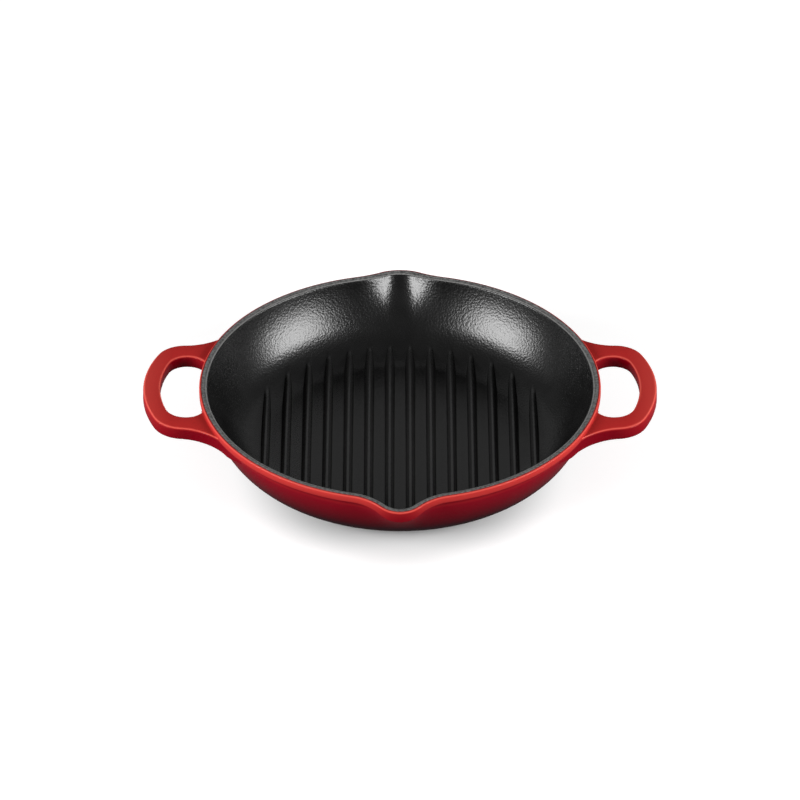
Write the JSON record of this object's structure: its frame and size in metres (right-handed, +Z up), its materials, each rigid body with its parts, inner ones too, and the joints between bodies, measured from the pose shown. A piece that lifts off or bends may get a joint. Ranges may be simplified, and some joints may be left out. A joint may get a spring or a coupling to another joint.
{
  "type": "grill pan",
  "caption": "Round enamelled cast-iron grill pan with ribbed floor, pouring spouts and loop handles; food is seared on the ribs.",
  "frame": {"origin": "centre of the pan's axis at the height of the foot ring it stands on", "axes": "+X along the two loop handles, +Y towards one pouring spout, +Z up the pan's axis"},
  "size_m": [0.3332, 0.2798, 0.05],
  "materials": {
    "iron": "cast, under a matt dark ground coat",
    "gloss_red_enamel": "gloss fired glass enamel, dark cherry red that turns darker towards the base",
    "satin_black_enamel": "satin fired glass enamel with a pebbled skin",
    "ground_coat": "dull grey ground coat"
  },
  "bodies": {
    "root": {"iron_casting": "iron", "outer_enamel": "gloss_red_enamel", "inner_enamel": "satin_black_enamel", "rim_ground_coat": "ground_coat", "base_enamel": "gloss_red_enamel"}
  },
  "joints": []
}
